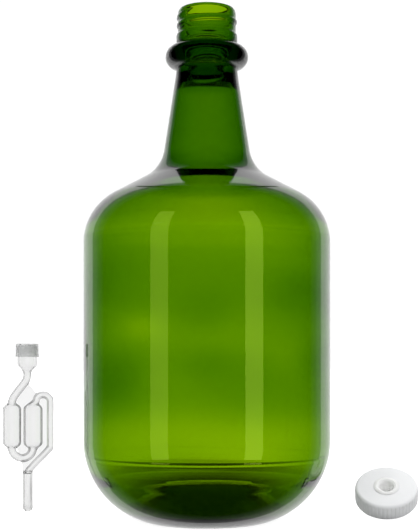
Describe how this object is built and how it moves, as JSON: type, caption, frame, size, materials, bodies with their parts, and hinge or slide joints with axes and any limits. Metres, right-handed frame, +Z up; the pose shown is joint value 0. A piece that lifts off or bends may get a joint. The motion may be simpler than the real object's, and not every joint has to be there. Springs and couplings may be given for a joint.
{
  "type": "glass carboy",
  "caption": "Green glass carboy with a threaded neck, a ribbed screw cap with a grommet hole, and a clear twin-chamber airlock set beside it.",
  "frame": {"origin": "on the bottle's axis, at the surface that the bottle, cap and airlock stand on", "axes": "+Z up along the bottle's axis, -Y towards the viewer, +X towards the cap's side and -X towards the airlock's"},
  "size_m": [0.3131, 0.178, 0.37],
  "materials": {
    "green_glass": "clear olive-green glass, smooth and glossy",
    "white_plastic": "white moulded plastic with a satin top and a ribbed grip",
    "liner_foam": "matt off-white sealing foam",
    "white_silicone": "matt white silicone",
    "clear_plastic": "clear colourless moulded plastic",
    "frosted_plastic": "milky translucent plastic"
  },
  "bodies": {
    "bottle": {"bottle": "green_glass"},
    "cap_seat": {"cap_liner": "liner_foam"},
    "cap": {"screw_cap": "white_plastic", "stem_grommet": "white_silicone"},
    "airlock": {"airlock_front_shell": "clear_plastic", "airlock_back_shell": "clear_plastic"},
    "lid": {"airlock_lid": "frosted_plastic"}
  },
  "joints": [
    {"name": "cap_lift", "type": "slide", "parent": "bottle", "child": "cap_seat", "axis": [0, 0, 1], "range_m": [0, 0.4]},
    {"name": "cap_turn", "type": "hinge", "parent": "cap_seat", "child": "cap", "pos_m": [0.1331, 0.022, 0.01341], "axis": [-0.0808, -0.5751, 0.8141], "continuous": true},
    {"name": "airlock_lift", "type": "slide", "parent": "bottle", "child": "airlock", "axis": [0, 0, 1], "range_m": [0, 0.4]},
    {"name": "lid_lift", "type": "slide", "parent": "airlock", "child": "lid", "axis": [0, 0, 1], "range_m": [0, 0.022]}
  ]
}
